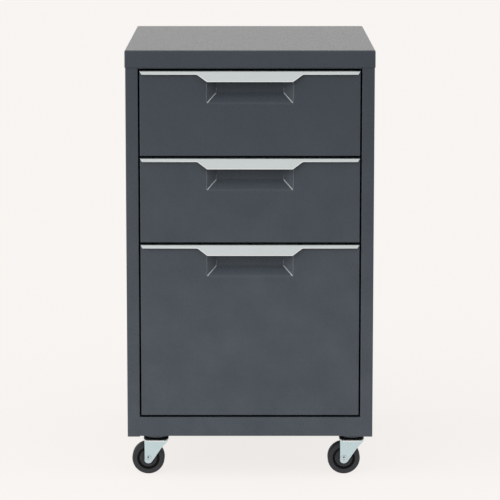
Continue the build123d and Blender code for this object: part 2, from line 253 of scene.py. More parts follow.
@dataclass(frozen=True, kw_only=True)
class PowderCoat(HardFinish):
    """Polyester powder baked on steel."""

    grit_mm: float
    grit_depth_mm: float = 0.1
    grit_strength: float = 0.1
    peel_mm: float
    peel_depth_mm: float = 0.3
    peel_strength: float = 0.08
    cloud_mm: float
    cloud_roughness: float = 0.6
    edge_tone: str
    gloss: float
    # The next four paint bounce light from the floor: the coat grows paler towards it
    floor_bounce_tone: str = "#a2a6ad"
    floor_bounce_share: float = 0.0
    floor_bounce_top_mm: float = 640.0
    floor_bounce_foot_mm: float = 300.0
    # The next three paint light on faces turned between the front and a side or the top
    fold_light_share: float = 0.0
    fold_light_top_weight: float = 0.8
    fold_light_power: float = 3.0

    def shader(self, tree: Tree) -> Node:
        """Build the coat: its tones, and the relief of its skin.

        Args:
            tree: Tree of the material.

        Returns:
            The shader node.
        """
        point = add_node(tree, "ShaderNodeTexCoord").outputs["Object"]
        soft = self.soft_normal(tree)
        # The orange peel of powder that melted and set, and the fine grit of its pigment
        peel = add_node(tree, "ShaderNodeTexNoise", {
            "Vector": point, "Scale": per_metre(self.peel_mm),
            "Detail": SMOOTH_DETAIL}).outputs["Fac"]
        grit = add_node(tree, "ShaderNodeTexVoronoi", {
            "Vector": point, "Scale": per_metre(self.grit_mm)}).outputs["Distance"]
        wave = add_node(tree, "ShaderNodeBump", {
            "Height": peel, "Normal": soft, "Strength": self.peel_strength,
            "Distance": self.peel_depth_mm * MM})
        rough = add_node(tree, "ShaderNodeBump", {
            "Height": grit, "Normal": wave.outputs["Normal"], "Strength": self.grit_strength,
            "Distance": self.grit_depth_mm * MM})
        return add_node(tree, "ShaderNodeBsdfPrincipled", {
            "Base Color": self.tones(tree, point, self.edges(tree, soft)),
            "Roughness": self.uneven(tree, peel), "Specular IOR Level": self.gloss,
            "Normal": rough.outputs["Normal"]})

    def tones(self, tree: Tree, point: Socket, edge: Socket) -> Socket:
        """Mix the tones of the coat, with painted bounce light towards the floor and painted highlights.

        Args:
            tree: Tree of the material.
            point: Place on the part, in metres.
            edge: Mask of the edges.

        Returns:
            The colour.
        """
        # Slight clouds, from powder that lies a little thicker in places
        cloud = add_node(tree, "ShaderNodeTexNoise", {
            "Vector": point, "Scale": per_metre(self.cloud_mm), "Detail": CLOUD_DETAIL,
            "Roughness": self.cloud_roughness}).outputs["Fac"]
        base = add_node(tree, "ShaderNodeMix", {
            MIX_FACTOR: cloud, MIX_A: linear(self.shade),
            MIX_B: linear(self.colour)}, data_type="RGBA")
        # Painted bounce light from the floor: the coat is mixed paler towards the floor, doubled because the
        # clouds halve it
        height = add_node(tree, "ShaderNodeSeparateXYZ", {0: point}).outputs["Z"]
        bounce_reach = add_node(tree, "ShaderNodeMapRange", {
            "Value": height, "From Min": self.floor_bounce_top_mm * MM, "From Max": self.floor_bounce_foot_mm * MM,
            "To Max": 2 * self.floor_bounce_share})
        patchy_bounce = add_node(tree, "ShaderNodeMath", {
            0: bounce_reach.outputs["Result"], 1: cloud}, operation="MULTIPLY")
        with_bounce = add_node(tree, "ShaderNodeMix", {
            MIX_FACTOR: patchy_bounce.outputs["Value"], MIX_A: base.outputs[MIX_RESULT],
            MIX_B: linear(self.floor_bounce_tone)}, data_type="RGBA")
        # Cut edges are mixed paler, partly as coat worn thin and partly as painted highlights, and faces turned
        # between the front and a side or the top get painted light
        worn_and_lit = add_node(tree, "ShaderNodeMath", {
            0: edge, 1: cloud, 2: self.fold_light(tree)}, operation="MULTIPLY_ADD")
        edged = add_node(tree, "ShaderNodeMix", {
            MIX_FACTOR: worn_and_lit.outputs["Value"], MIX_A: with_bounce.outputs[MIX_RESULT],
            MIX_B: linear(self.edge_tone)}, data_type="RGBA")
        return edged.outputs[MIX_RESULT]

    def fold_light(self, tree: Tree) -> Socket:
        """Find the faces turned between the front and a side or the top, where light is painted on.

        Args:
            tree: Tree of the material.

        Returns:
            A mask of painted light that reaches the finish's share for folds halfway round a fold.
        """
        normal = add_node(tree, "ShaderNodeNewGeometry").outputs["Normal"]
        sizes = add_node(tree, "ShaderNodeVectorMath", {0: normal}, operation="ABSOLUTE")
        parts = add_node(tree, "ShaderNodeSeparateXYZ", {0: sizes.outputs["Vector"]}).outputs
        aside = add_node(tree, "ShaderNodeMath", {
            0: parts["Z"], 1: self.fold_light_top_weight, 2: parts["X"]}, operation="MULTIPLY_ADD")
        turn = add_node(tree, "ShaderNodeMath", {
            0: parts["Y"], 1: aside.outputs["Value"]}, operation="MULTIPLY")
        # Halfway round a fold the product is a half
        halfway = add_node(tree, "ShaderNodeMath", {
            0: turn.outputs["Value"], 1: 2.0}, operation="MULTIPLY", use_clamp=True)
        steep = add_node(tree, "ShaderNodeMath", {
            0: halfway.outputs["Value"], 1: self.fold_light_power}, operation="POWER")
        share = add_node(tree, "ShaderNodeMath", {
            0: steep.outputs["Value"], 1: self.fold_light_share}, operation="MULTIPLY")
        return share.outputs["Value"]


@dataclass(frozen=True, kw_only=True)
class SheetMetal(HardFinish):
    """Bare or plated metal, with the marks of rolling or brushing along one direction."""

    grain: Grain
    grain_mm: float
    grain_depth_mm: float = 0.1
    grain_strength: float = 0.08
    cloud_mm: float
    least_tone: float = 0.25
    edge_tone: str
    glint_tone: str | None = None
    glint_rises: tuple[float, float] = (0.0, 0.1)

    def shader(self, tree: Tree) -> Node:
        """Build the metal: cloudy streaks, edges mixed paler, partly as polish from handling and partly as painted
        highlights, and painted glints where the finish has them.

        Args:
            tree: Tree of the material.

        Returns:
            The shader node.
        """
        point = add_node(tree, "ShaderNodeTexCoord").outputs["Object"]
        drawn = add_node(tree, "ShaderNodeVectorMath", {
            0: point, 1: tuple(1 / run for run in self.grain.value)}, operation="MULTIPLY")
        streak = add_node(tree, "ShaderNodeTexNoise", {
            "Vector": drawn.outputs["Vector"], "Scale": per_metre(self.grain_mm),
            "Detail": FINE_DETAIL}).outputs["Fac"]
        cloud = add_node(tree, "ShaderNodeTexNoise", {
            "Vector": point, "Scale": per_metre(self.cloud_mm),
            "Detail": CLOUD_DETAIL}).outputs["Fac"]
        soft = self.soft_normal(tree)
        tone = add_node(tree, "ShaderNodeMath", {
            0: streak, 1: cloud, 2: self.least_tone}, operation="MULTIPLY_ADD")
        base = add_node(tree, "ShaderNodeMix", {
            MIX_FACTOR: tone.outputs["Value"], MIX_A: linear(self.shade),
            MIX_B: linear(self.colour)}, data_type="RGBA")
        # Edges mixed paler: partly polish from handling, partly painted highlights
        bright = add_node(tree, "ShaderNodeMix", {
            MIX_FACTOR: self.edges(tree, soft), MIX_A: base.outputs[MIX_RESULT],
            MIX_B: linear(self.edge_tone)}, data_type="RGBA")
        colour = bright.outputs[MIX_RESULT]
        # Painted glints over the bends, where the finish has them
        if self.glint_tone:
            colour = self.paint_glints(tree, colour, self.glint_tone)
        line = add_node(tree, "ShaderNodeBump", {
            "Height": streak, "Normal": soft, "Strength": self.grain_strength,
            "Distance": self.grain_depth_mm * MM})
        return add_node(tree, "ShaderNodeBsdfPrincipled", {
            "Base Color": colour, "Metallic": 1.0, "Roughness": self.uneven(tree, streak),
            "Normal": line.outputs["Normal"]})

    def paint_glints(self, tree: Tree, colour: Socket, tone: str) -> Socket:
        """Paint a glint on the faces that begin to look up, over the bends: a painted highlight.

        Args:
            tree: Tree of the material.
            colour: Colour of the flats.
            tone: Colour of the painted glint.

        Returns:
            The colour with the painted glints in it.
        """
        normal = add_node(tree, "ShaderNodeNewGeometry").outputs["Normal"]
        rise = add_node(tree, "ShaderNodeSeparateXYZ", {0: normal}).outputs["Z"]
        glint = add_node(tree, "ShaderNodeMapRange", {
            "Value": rise, "From Min": self.glint_rises[0], "From Max": self.glint_rises[1]})
        mixed = add_node(tree, "ShaderNodeMix", {
            MIX_FACTOR: glint.outputs["Result"], MIX_A: colour,
            MIX_B: linear(tone)}, data_type="RGBA")
        return mixed.outputs[MIX_RESULT]


@dataclass(frozen=True, kw_only=True)
class Moulding(HardFinish):
    """Rubber or plastic from a mould, with the mould's fine blasted skin."""

    skin_mm: float
    skin_depth_mm: float = 0.2
    skin_strength: float = 0.15
    cloud_mm: float
    gloss: float

    def shader(self, tree: Tree) -> Node:
        """Build the moulding: its tone, and the relief of its skin.

        Args:
            tree: Tree of the material.

        Returns:
            The shader node.
        """
        places = add_node(tree, "ShaderNodeTexCoord").outputs
        skin_pattern = add_node(tree, "ShaderNodeTexNoise", {
            "Vector": places["Object"], "Scale": per_metre(self.skin_mm),
            "Detail": FINE_DETAIL}).outputs["Fac"]
        cloud = add_node(tree, "ShaderNodeTexNoise", {
            "Vector": places["Object"], "Scale": per_metre(self.cloud_mm),
            "Detail": CLOUD_DETAIL}).outputs["Fac"]
        relief = add_node(tree, "ShaderNodeBump", {
            "Height": skin_pattern, "Normal": self.soft_normal(tree),
            "Strength": self.skin_strength, "Distance": self.skin_depth_mm * MM})
        return add_node(tree, "ShaderNodeBsdfPrincipled", {
            "Base Color": self.tone(tree, places["Generated"], cloud),
            "Roughness": self.uneven(tree, skin_pattern), "Specular IOR Level": self.gloss,
            "Normal": relief.outputs["Normal"]})

    def tone(self, tree: Tree, place: Socket, cloud: Socket) -> Socket:
        """Mix the two tones by a cloudy pattern.

        Args:
            tree: Tree of the material.
            place: Coordinates from 0 to 1 across the piece, for finishes that vary by place.
            cloud: Cloudy pattern.

        Returns:
            The colour.
        """
        mixed = add_node(tree, "ShaderNodeMix", {
            MIX_FACTOR: cloud, MIX_A: linear(self.shade),
            MIX_B: linear(self.colour)}, data_type="RGBA")
        return mixed.outputs[MIX_RESULT]


@dataclass(frozen=True, kw_only=True)
class Tyre(Moulding):
    """A grey tyre and disc, with painted shade, near black, in the groove between them at its distance from the
    axle.
    """

    groove_shade_tone: str
    groove_shares: tuple[float, float]

    def tone(self, tree: Tree, place: Socket, cloud: Socket) -> Socket:
        """Mix the tyre's and disc's tone with the painted shade of the groove.

        Args:
            tree: Tree of the material.
            place: Coordinates from 0 to 1 across the wheel.
            cloud: Cloudy pattern.

        Returns:
            The colour.
        """
        # From 0 at the axle, which runs along Y, to 1 at the tread
        centred = add_node(tree, "ShaderNodeVectorMath", {
            0: place, 1: (0.5, 0.5, 0.5)}, operation="SUBTRACT")
        across = add_node(tree, "ShaderNodeVectorMath", {
            0: centred.outputs["Vector"], 1: (2.0, 0.0, 2.0)}, operation="MULTIPLY")
        radius = add_node(tree, "ShaderNodeVectorMath", {
            0: across.outputs["Vector"]}, operation="LENGTH")
        middle = sum(self.groove_shares) / 2
        groove = add_node(tree, "ShaderNodeMath", {
            0: radius.outputs["Value"], 1: middle,
            2: self.groove_shares[1] - middle}, operation="COMPARE")
        mixed = add_node(tree, "ShaderNodeMix", {
            MIX_FACTOR: groove.outputs["Value"], MIX_A: super().tone(tree, place, cloud),
            MIX_B: linear(self.groove_shade_tone)}, data_type="RGBA")
        return mixed.outputs[MIX_RESULT]


@dataclass(frozen=True, kw_only=True)
class BackdropPaper(Finish):
    """Seamless studio paper, matt and evenly lit, which keeps part of the object's shadow."""

    mottle_mm: float
    glow: str
    shadow_share: float
    bounce_near: str
    bounce_far: str
    near_mm: float
    far_mm: float

    def shader(self, tree: Tree) -> Node:
        """Build the paper as the eye sees it, and as it gives light back to the object.

        Args:
            tree: Tree of the material.

        Returns:
            The shader node.
        """
        point = add_node(tree, "ShaderNodeTexCoord").outputs["Object"]
        mottle = add_node(tree, "ShaderNodeTexNoise", {
            "Vector": point, "Scale": per_metre(self.mottle_mm), "Detail": SMOOTH_DETAIL})
        base = add_node(tree, "ShaderNodeMix", {
            MIX_FACTOR: mottle.outputs["Fac"], MIX_A: linear(self.shade),
            MIX_B: linear(self.colour)}, data_type="RGBA")
        glow = add_node(tree, "ShaderNodeEmission", {"Color": linear(self.glow), "Strength": 1.0})
        lit = add_node(tree, "ShaderNodeBsdfDiffuse", {"Color": base.outputs[MIX_RESULT]})
        paper = add_node(tree, "ShaderNodeMixShader", {
            0: self.shadow_share, 1: glow.outputs[0], 2: lit.outputs[0]})
        # The pool of light under the object gives back more than the floor further off
        away = add_node(tree, "ShaderNodeVectorMath", {0: point}, operation="LENGTH")
        far = add_node(tree, "ShaderNodeMapRange", {
            "Value": away.outputs["Value"], "From Min": self.near_mm * MM,
            "From Max": self.far_mm * MM}, interpolation_type="SMOOTHSTEP")
        returned = add_node(tree, "ShaderNodeMix", {
            MIX_FACTOR: far.outputs["Result"], MIX_A: linear(self.bounce_near),
            MIX_B: linear(self.bounce_far)}, data_type="RGBA")
        bounce = add_node(tree, "ShaderNodeBsdfDiffuse", {"Color": returned.outputs[MIX_RESULT]})
        return add_node(tree, "ShaderNodeMixShader", {
            0: shown_rays(tree), 1: bounce.outputs[0], 2: paper.outputs[0]})


# Satin powder coat in charcoal: an even dark grey with a soft sheen, palest at a low angle. The
# grit of all the coats is drawn coarser than real grit, so that it shows from near by.
# It is painted paler towards the floor as bounce light, and paler on its edges and folds as painted highlights
CASE_COAT = PowderCoat(
    "steel_powder_coated_charcoal", colour="#41484f", shade="#3c434a", roughness=0.29, spread=0.04,
    edge_mm=0.8, grit_mm=0.9, peel_mm=3.0, cloud_mm=60.0, edge_tone="#6d737b", gloss=0.2,
    floor_bounce_share=0.046, fold_light_share=0.24)
# The same powder, laid on thinner where the boxes and the frame don't show: darker and duller
TRAY_COAT = PowderCoat(
    "steel_powder_coated_dark", colour="#3b3e43", shade="#36393e", roughness=0.48, spread=0.05,
    edge_mm=0.5, grit_mm=0.9, peel_mm=3.0, cloud_mm=60.0, edge_tone="#4e5258", gloss=0.3)
# The same powder in pale grey on the raised lines along the recess corners: painted highlights of those corners
HIGHLIGHT_LINE_COAT = PowderCoat(
    "steel_powder_coated_thin", colour="#c6cbd0", shade="#a9aeb5", roughness=0.28, spread=0.06,
    edge_mm=0.2, grit_mm=0.9, peel_mm=3.0, cloud_mm=6.0, edge_tone="#c6cbd0", gloss=0.5)
# Black electrocoat on roll-formed steel: thin, even and dull
SLIDE_COAT = PowderCoat(
    "steel_electrocoated_black", colour="#17181a", shade="#121315", roughness=0.5, spread=0.05,
    edge_mm=0.3, grit_mm=0.9, peel_mm=4.0, cloud_mm=40.0, edge_tone="#2c2d30", gloss=0.15)
# Satin anodised aluminium, brushed along its length: a pale silver that spreads highlights across
# the grain. The brush marks are drawn wider than real ones, so that they show.
PULL_METAL = SheetMetal(
    "aluminium_anodised_brushed", colour="#d2dadc", shade="#c4cdcf", roughness=0.38, spread=0.07,
    edge_mm=0.9, grain=Grain.ALONG_X, grain_mm=0.8, cloud_mm=40.0, edge_tone="#e2e6e8")
# A near-white line round the tab, along the pull's cut edge: a painted highlight of that edge
HIGHLIGHT_RIM_METAL = SheetMetal(
    "aluminium_polished_edge", colour="#f0f3f4", shade="#e6eaec", roughness=0.28, spread=0.05,
    edge_mm=0.1, grain=Grain.ALONG_X, grain_mm=0.8, cloud_mm=20.0, edge_tone="#f4f6f7")
# Bright zinc on roll-formed steel: a bluish silver with faint lines from the rolls
SLIDE_ZINC = SheetMetal(
    "steel_zinc_plated_rolled", colour="#c9d0d3", shade="#a9b1b6", roughness=0.34, spread=0.08,
    edge_mm=0.3, grain=Grain.ALONG_Y, grain_mm=0.7, cloud_mm=18.0, edge_tone="#d6dcde")
# Bright zinc on pressed steel: pale, slightly blue and cloudy, with white painted glints over the bends
FORK_ZINC = SheetMetal(
    "steel_zinc_plated_pressed", colour="#cfe1e5", shade="#c1d4d9", roughness=0.30, spread=0.05,
    edge_mm=0.6, grain=Grain.NONE, grain_mm=3.0, cloud_mm=9.0, edge_tone="#dfecee",
    glint_tone="#ffffff")
# Zinc on cold-headed steel: a slightly duller silver
BOLT_ZINC = SheetMetal(
    "steel_zinc_plated_headed", colour="#cfdde1", shade="#bdccd1", roughness=0.34, spread=0.06,
    edge_mm=0.3, grain=Grain.NONE, grain_mm=1.2, cloud_mm=4.0, edge_tone="#dde5e7")
# Phosphated and oiled steel: a dull black with a faint metallic sheen
BOLT_BLACK = SheetMetal(
    "steel_phosphated_black", colour="#2b2b2d", shade="#1d1d1f", roughness=0.5, spread=0.06,
    edge_mm=0.3, grain=Grain.NONE, grain_mm=1.2, cloud_mm=4.0, edge_tone="#3a3a3d")
# Phosphated pressed steel, on the plates of the casters: a dark metallic grey
PLATE_METAL = SheetMetal(
    "steel_phosphated_grey", colour="#555b62", shade="#474d54", roughness=0.4, spread=0.06,
    edge_mm=0.3, grain=Grain.NONE, grain_mm=1.5, cloud_mm=8.0, edge_tone="#666c73")
# Black polypropylene, moulded: a dull black. The skin of both mouldings is drawn coarser than a
# real one, so that it shows from near by.
BLACK_PLASTIC = Moulding(
    "polypropylene_moulded_black", colour="#141415", shade="#0c0c0d", roughness=0.55, spread=0.06,
    edge_mm=0.3, skin_mm=0.8, cloud_mm=9.0, gloss=0.12)
# Moulded rubber: a soft dark grey, a little dusty, with painted shade, near black, in the groove round the disc
WHEEL_RUBBER = Tyre(
    "rubber_moulded_grey", colour="#3a3b3e", shade="#313235", roughness=0.62, spread=0.08,
    edge_mm=0.5, skin_mm=0.9, cloud_mm=8.0, gloss=0.2, groove_shade_tone="#0e0e10",
    groove_shares=(0.55, 0.70))
# Seamless paper in a warm white: even, with a faint shadow on it
STUDIO_PAPER = BackdropPaper(
    "paper_seamless_warm_white", colour="#f6f2ef", shade="#f4f0ed", mottle_mm=400.0,
    glow="#fcf8f5", shadow_share=0.15, bounce_near="#f0edea", bounce_far="#6c6a68", near_mm=600.0,
    far_mm=1500.0)

FINISHES: dict[str, Finish] = {
    "case_paint": CASE_COAT,
    "front_paint": CASE_COAT,
    "tray_paint": TRAY_COAT,
    "upright_steel": TRAY_COAT,
    "plate_steel": PLATE_METAL,
    "pull_aluminium": PULL_METAL,
    "slide_zinc": SLIDE_ZINC,
    "slide_black": SLIDE_COAT,
    "rail_steel": SLIDE_ZINC,
    "fork_zinc": FORK_ZINC,
    "bolt_zinc": BOLT_ZINC,
    "bolt_black": BOLT_BLACK,
    "ring_plastic": BLACK_PLASTIC,
    "wheel_rubber": WHEEL_RUBBER,
}


def skin(shape: Shape, rings: list[list[Vector]]) -> None:
    """Add a skin over rings of points.

    Args:
        shape: Mesh that takes the skin.
        rings: Points of each ring, from one end to the other. Each ring has as many points as the
            others, or one, which closes an end.
    """
    loops = [[shape.verts.new(point) for point in ring] for ring in rings]
    sides = max(len(loop) for loop in loops)
    for low, high in zip(loops, loops[1:]):
        for step in range(sides):
            after = (step + 1) % sides
            corners = [low[step % len(low)], low[after % len(low)],
                       high[after % len(high)], high[step % len(high)]]
            shape.faces.new(list(dict.fromkeys(corners)))


def turned(shape: Shape, profile: Iterable[Ring], place: Matrix, sides: int) -> None:
    """Add a closed turned form to a shape.

    Args:
        shape: Mesh that takes the form.
        profile: Rings of the form, from one end to the other.
        place: Where the form goes, with its axis along Z.
        sides: Corners of each ring.
    """
    rings = []
    for radius, height, waist in profile:
        ring = []
        for step in range(sides if radius else 1):
            angle = math.tau * step / sides
            reach = radius * (waist + (1 - waist) * math.cos(2 * angle) ** ARM_POWER)
            ring.append(place @ Vector((reach * math.cos(angle), reach * math.sin(angle), height)))
        rings.append(ring)
    skin(shape, rings)


def rounded(corners: list[Vector], radii: Iterable[float], steps: int = 6) -> list[Vector]:
    """Round the inner corners of a flat path.

    Args:
        corners: Points of the path.
        radii: Radius of each corner between the two ends.
        steps: Points along each curve, less one.

    Returns:
        The points of the rounded path.
    """
    path = [corners[0]]
    for before, corner, after, radius in zip(corners, corners[1:], corners[2:], radii):
        back, ahead = (before - corner).normalized(), (after - corner).normalized()
        reach = radius / math.tan(back.angle(ahead) / 2)
        start, end = corner + back * reach, corner + ahead * reach
        for step in range(steps + 1):
            share = step / steps
            path.append(start.lerp(corner, share).lerp(corner.lerp(end, share), share))
    return path + [corners[-1]]


def make_piece(name: str, shape: Shape, body: str, slot: str,
               finish: Finish | None = None) -> bpy.types.Object:
    """Turn a shape into a piece that rides on a body and has the finish of a slot.

    Args:
        name: Name of the piece.
        shape: The finished mesh, which is freed.
        body: Body that carries the piece.
        slot: Slot of the record that the piece belongs to.
        finish: A finish of the piece's own, in place of the slot's.

    Returns:
        The new object.
    """
    bmesh.ops.remove_doubles(shape, verts=shape.verts, dist=WELD)
    bmesh.ops.recalc_face_normals(shape, faces=shape.faces)
    mesh = bpy.data.meshes.new(name)
    shape.to_mesh(mesh)
    shape.free()
    mesh.shade_smooth()
    mesh.set_sharp_from_angle(angle=SHARP_ANGLE)
    mesh.materials.append((finish or FINISHES[slot]).material())
    piece = bpy.data.objects.new(name, mesh)
    bpy.context.scene.collection.objects.link(piece)
    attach(piece, body)
    log.info("made %s on %s", name, body)
    return piece


def dress_body(body: str) -> None:
    """Give every solid of the frame that rides on a body the finish of its slot.

    Args:
        body: Name of the body.
    """
    slots = {part["node"]: part["material_slot"] for part in frame["record"]["subparts"]}
    for node in frame["record"]["behaviour"]["bodies"][body]:
        finish = FINISHES[slots[node]]
        for holder in frame["nodes"][node].material_slots:
            holder.material = finish.material()
        log.info("dressed %s in %s", node, finish.name)


def swivels() -> dict[str, tuple[float, float]]:
    """Return X and Y of each caster's swivel, by the name of its corner."""
    return {joint["name"].removesuffix(SWIVEL): tuple(joint["pos_m"][:2])
            for joint in frame["joints"] if joint["name"].endswith(SWIVEL)}


@dataclass
class PanScrew:
    """Pan-head screw with a cross recess, sizes in millimetres.

    The shares are those of the head's radius and height, from its seat up over its rim.
    """

    head_diameter: float = 7.0
    head_height: float = 2.0
    head_shares: tuple[tuple[float, float], ...] = (
        (0.0, 0.0), (1.0, 0.0), (1.0, 0.45), (0.93, 0.78), (0.78, 0.95), (0.64, 1.0))
    recess_diameter: float = 3.8
    recess_depth: float = 1.2
    recess_waist: float = 0.36
    recess_taper: float = 0.72
    sides: int = 40

    def add(self, shape: Shape, place: Matrix) -> None:
        """Add one head to a shape.

        Args:
            shape: Mesh that takes the head.
            place: Where the head is seated, with its axis along Z.
        """
        radius, height = self.head_diameter / 2 * MM, self.head_height * MM
        arm, floor = self.recess_diameter / 2 * MM, height - self.recess_depth * MM
        head = [Ring(radius * out, height * up) for out, up in self.head_shares]
        recess = [Ring(arm, height, self.recess_waist),
                  Ring(arm * self.recess_taper, floor, self.recess_waist), Ring(0.0, floor)]
        turned(shape, head + recess, place, self.sides)


@dataclass
class BlindRivet:
    """Domed head of a blind rivet with the broken mandrel in its middle, sizes in millimetres.

    The shares are those of the head's radius and height, from its seat up to its hole.
    """

    head_diameter: float = 6.4
    head_height: float = 1.1
    head_shares: tuple[tuple[float, float], ...] = (
        (0.0, 0.0), (1.0, 0.0), (0.98, 0.3), (0.86, 0.66), (0.66, 0.9))
    hole_diameter: float = 2.1
    hole_depth: float = 0.6
    lip_flare: float = 1.15
    lip_share: float = 0.92
    mandrel_rise: float = 0.1
    sides: int = 28

    def add(self, shape: Shape, place: Matrix) -> None:
        """Add one head to a shape.

        Args:
            shape: Mesh that takes the head.
            place: Where the head is seated, with its axis along Z.
        """
        radius, height = self.head_diameter / 2 * MM, self.head_height * MM
        hole, floor = self.hole_diameter / 2 * MM, height - self.hole_depth * MM
        head = [Ring(radius * out, height * up) for out, up in self.head_shares]
        middle = [Ring(hole * self.lip_flare, height), Ring(hole, height * self.lip_share),
                  Ring(hole, floor), Ring(0.0, floor + self.mandrel_rise * MM)]
        turned(shape, head + middle, place, self.sides)


@dataclass
class HighlightBead:
    """Raised line along a pressed corner, with rounded ends, pale as a painted highlight of the corner.

    The tip and the waist are shares of its radius.
    """

    start_mm: tuple[float, float, float]
    end_mm: tuple[float, float, float]
    radius_mm: float
    tip_width: float = 0.6
    tip_reach: float = 0.2
    waist: float = 0.9
    sides: int = 14

    def add(self, shape: Shape, place: Vector, hand: Hand) -> None:
        """Add the line to a shape.

        Args:
            shape: Mesh that takes the line.
            place: Point that the line's ends are measured from.
            hand: Side of the cabinet, which gives the sign of X.
        """
        start, end = (place + Vector((hand.value * x, y, z)) * MM
                      for x, y, z in (self.start_mm, self.end_mm))
        radius = self.radius_mm * MM
        tip, reach = radius * self.tip_width, radius * self.tip_reach
        run = end - start
        turned(shape, [
            Ring(0.0, 0.0), Ring(tip, reach), Ring(radius, radius),
            Ring(radius * self.waist, run.length / 2), Ring(radius, run.length - radius),
            Ring(tip, run.length - reach), Ring(0.0, run.length),
        ], Matrix.Translation(start) @ run.to_track_quat("Z", "Y").to_matrix().to_4x4(), self.sides)


@dataclass
class PullHighlightRim:
    """Raised line along the pull's lower edge, near-white as a painted highlight of its cut edge, sizes in
    millimetres.
    """

    lean_deg: float = 25.0
    strip_drop: float = 5.4
    tab_drop: float = 16.6
    tab_half: float = 68.5
    tab_flare: float = 16.0
    end_inset: float = 4.2
    radii: tuple[float, ...] = (6.0, 2.5, 2.5, 6.0)
    width: float = 1.3
    rise: float = 0.12
    foot_inset: float = 0.1
    shoulder_inset: float = 0.15
    shoulder_share: float = 0.6

    def add(self, shape: Shape, low: Vector, high: Vector) -> None:
        """Add the line to a shape.

        Args:
            shape: Mesh that takes the line.
            low: Lower corner of the pull's box.
            high: Upper corner of the pull's box.
        """
        lean = math.radians(self.lean_deg)
        corner = Vector((0.0, low.y + self.tab_drop * MM * math.tan(lean), high.z))
        place = Matrix.Translation(corner) @ Matrix.Rotation(math.pi / 2 - lean, 4, "X")
        path = rounded(self.corners(-high.x / MM + self.end_inset, lean), self.radii)
        shoulder = self.rise * self.shoulder_share
        section = ((self.foot_inset, -self.rise), (self.shoulder_inset, shoulder),
                   (self.width / 2, self.rise), (self.width - self.foot_inset, shoulder),
                   (self.width, -self.rise))
        rings = [[path[0].to_3d()]]
        for before, point, after in zip(path, path[1:], path[2:]):
            inward = (after - before).normalized().orthogonal()
            rings.append([(point + inward * inset).to_3d() + Vector((0.0, 0.0, rise))
                          for inset, rise in section])
        rings.append([path[-1].to_3d()])
        skin(shape, [[place @ (point * MM) for point in ring] for ring in rings])

    def corners(self, left: float, lean: float) -> list[Vector]:
        """Lay out the lower edge of the pull in its leaning plane.

        Args:
            left: X of the left end, in millimetres.
            lean: How far the plane leans, in radians.

        Returns:
            The corners of the edge, from left to right.
        """
        strip, tab = -self.strip_drop / math.cos(lean), -self.tab_drop / math.cos(lean)
        half = [(left, strip), (-self.tab_half - self.tab_flare, strip), (-self.tab_half, tab)]
        return [Vector(point) for point in half] + [Vector((-x, y)) for x, y in reversed(half)]


@dataclass
class Case:
    """The fixed case, with its uprights, the outer members of the slides and the casters' plates.

    The profiles give radius and height over the foot of the dust ring, back to the first point.
    """

    rivet: BlindRivet
    body: str = "cabinet"
    rivet_inset_mm: float = 7.5
    rivet_heights: tuple[float, ...] = (0.06, 0.235, 0.41, 0.585, 0.76, 0.92)
    cover_profile_mm: tuple[tuple[float, float], ...] = (
        (15.9, 1.3), (16.8, 1.4), (17.2, 1.9), (17.3, 3.6), (17.3, 8.3), (16.9, 8.7), (16.4, 8.7),
        (15.9, 1.3))
    lip_profile_mm: tuple[tuple[float, float], ...] = (
        (4.6, 0.0), (19.4, 0.0), (19.85, 0.15), (20.0, 0.5), (19.85, 0.9), (19.3, 1.1),
        (15.6, 1.2), (14.2, 2.65), (4.6, 2.7), (4.6, 0.0))
    ring_sides: int = 56

    def build(self) -> None:
        """Make the rivets of the back, and the race covers and lipped dust rings of the casters."""
        self.back_rivets()
        make_piece("caster_race_covers", self.rings(self.cover_profile_mm), self.body,
                   "plate_steel")
        lips = make_piece("caster_dust_lips", self.rings(self.lip_profile_mm), self.body,
                          "ring_plastic")
        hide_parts("caster_dust_rings")

    def rings(self, profile_mm: Iterable[tuple[float, float]]) -> Shape:
        """Make a ring round the swivel of each caster.

        Args:
            profile_mm: One of the profiles.

        Returns:
            The rings as one mesh.
        """
        shape = bmesh.new()
        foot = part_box("caster_dust_rings")[0].z
        profile = [Ring(radius * MM, height * MM) for radius, height in profile_mm]
        for x, y in swivels().values():
            turned(shape, profile, Matrix.Translation((x, y, foot)), self.ring_sides)
        return shape

    def back_rivets(self) -> None:
        """Make the rivets that hold the back in the returns of the side panels."""
        low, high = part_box("right_side_panel")
        turn = Matrix.Rotation(-math.pi / 2, 4, "X")
        shape = bmesh.new()
        for hand in Hand:
            for share in self.rivet_heights:
                spot = Vector((hand.value * (high.x - self.rivet_inset_mm * MM), high.y,
                               low.z + share * (high.z - low.z)))
                self.rivet.add(shape, Matrix.Translation(spot) @ turn)
        make_piece("back_rivets", shape, self.body, "bolt_zinc")

    def dress(self) -> None:
        """Finish each solid that the record puts in the case."""
        dress_body(self.body)


